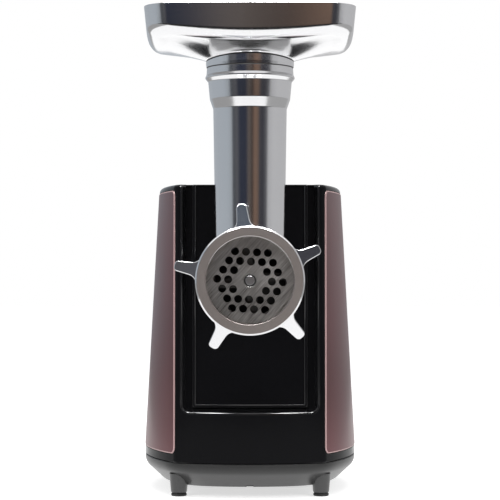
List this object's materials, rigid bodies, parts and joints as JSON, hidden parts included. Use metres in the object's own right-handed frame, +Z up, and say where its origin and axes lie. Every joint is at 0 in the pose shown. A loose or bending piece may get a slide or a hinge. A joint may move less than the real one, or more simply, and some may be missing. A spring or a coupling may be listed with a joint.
{
  "type": "electric meat grinder",
  "caption": "Upright electric meat grinder: glossy housing with geared motor, cast head with feed throat, worm, knife, hole plate and winged ring nut, and a lift-off feed tray.",
  "frame": {"origin": "centre of the bounding box at the level of the ground under the feet", "axes": "+X to the right seen from the front, +Y to the back, +Z up"},
  "size_m": [0.1566, 0.286, 0.333],
  "materials": {
    "housing_black": "gloss",
    "panel_rose": "metallic gloss",
    "base_grey": "satin",
    "pad_rubber": "matte",
    "polished_alloy": "polished",
    "cutting_steel": "brushed",
    "plain_steel": "satin",
    "bearing_bronze": "satin",
    "gear_nylon": "satin",
    "gearbox_grey": "satin",
    "copper": "satin",
    "carbon": "matte",
    "switch_black": "semi gloss"
  },
  "bodies": {
    "housing": {"housing_shell": "housing_black", "front_panel": "housing_black", "left_side_panel": "panel_rose", "right_side_panel": "panel_rose", "base_pan": "base_grey", "foot_pads": "pad_rubber", "base_screws": "plain_steel", "gearbox_front": "gearbox_grey", "gearbox_rear": "gearbox_grey", "gearbox_screws": "plain_steel", "gear_axle_one": "plain_steel", "gear_axle_two": "plain_steel", "output_bush": "bearing_bronze", "motor_bearings": "bearing_bronze", "motor_stator": "plain_steel", "field_coils": "copper", "rear_bracket": "gearbox_grey", "motor_bolts": "plain_steel", "brush_holders": "bearing_bronze", "carbon_brushes": "carbon", "motor_mounts": "pad_rubber", "switch_body": "switch_black", "switch_bezel": "switch_black", "cord_gland": "switch_black"},
    "armature": {"armature_shaft": "plain_steel", "armature_core": "plain_steel", "armature_winding": "copper", "commutator": "copper", "cooling_fan": "gear_nylon"},
    "first_gear": {"first_gear": "gear_nylon"},
    "second_gear": {"second_gear": "gear_nylon"},
    "output_drive": {"output_gear": "plain_steel", "drive_coupling": "plain_steel", "worm": "polished_alloy", "cutter_knife": "cutting_steel"},
    "head": {"grinder_head": "polished_alloy", "feed_throat": "polished_alloy", "head_bush": "bearing_bronze"},
    "plate": {"cutting_plate": "cutting_steel"},
    "ring": {"ring_nut": "polished_alloy"},
    "tray": {"tray": "polished_alloy"},
    "rocker": {"rocker_button": "switch_black"}
  },
  "joints": [
    {"name": "motor_spin", "type": "hinge", "parent": "housing", "child": "armature", "pos_m": [0, 0.074, 0.068], "axis": [0, 1, 0], "continuous": true},
    {"name": "first_gear_spin", "type": "hinge", "parent": "housing", "child": "first_gear", "pos_m": [-0.01718, 0.016, 0.09452], "axis": [0, 1, 0], "continuous": true},
    {"name": "second_gear_spin", "type": "hinge", "parent": "housing", "child": "second_gear", "pos_m": [0.0154, 0.004, 0.11097], "axis": [0, 1, 0], "continuous": true},
    {"name": "output_spin", "type": "hinge", "parent": "housing", "child": "output_drive", "pos_m": [0, -0.014, 0.154], "axis": [0, 1, 0], "continuous": true},
    {"name": "head_twist", "type": "hinge", "parent": "housing", "child": "head", "pos_m": [0, -0.026, 0.154], "axis": [0, 1, 0], "range_deg": [0, 40]},
    {"name": "plate_slide", "type": "slide", "parent": "head", "child": "plate", "axis": [0, -1, 0], "range_m": [0, 0.0091]},
    {"name": "ring_turn", "type": "hinge", "parent": "plate", "child": "ring", "pos_m": [0, -0.124, 0.154], "axis": [0, -1, 0], "range_deg": [0, 720]},
    {"name": "tray_lift", "type": "slide", "parent": "head", "child": "tray", "axis": [0, 0, 1], "range_m": [0, 0.03]},
    {"name": "rocker_tilt", "type": "hinge", "parent": "housing", "child": "rocker", "pos_m": [0, 0.138, 0.15], "axis": [1, 0, 0], "range_deg": [-10, 10]}
  ],
  "couplings": [
    {"joint": "first_gear_spin", "follows": "motor_spin", "ratio": -0.16667},
    {"joint": "second_gear_spin", "follows": "motor_spin", "ratio": 0.05},
    {"joint": "output_spin", "follows": "motor_spin", "ratio": -0.016667},
    {"joint": "plate_slide", "follows": "ring_turn", "m_per_rad": 0.0007162}
  ]
}
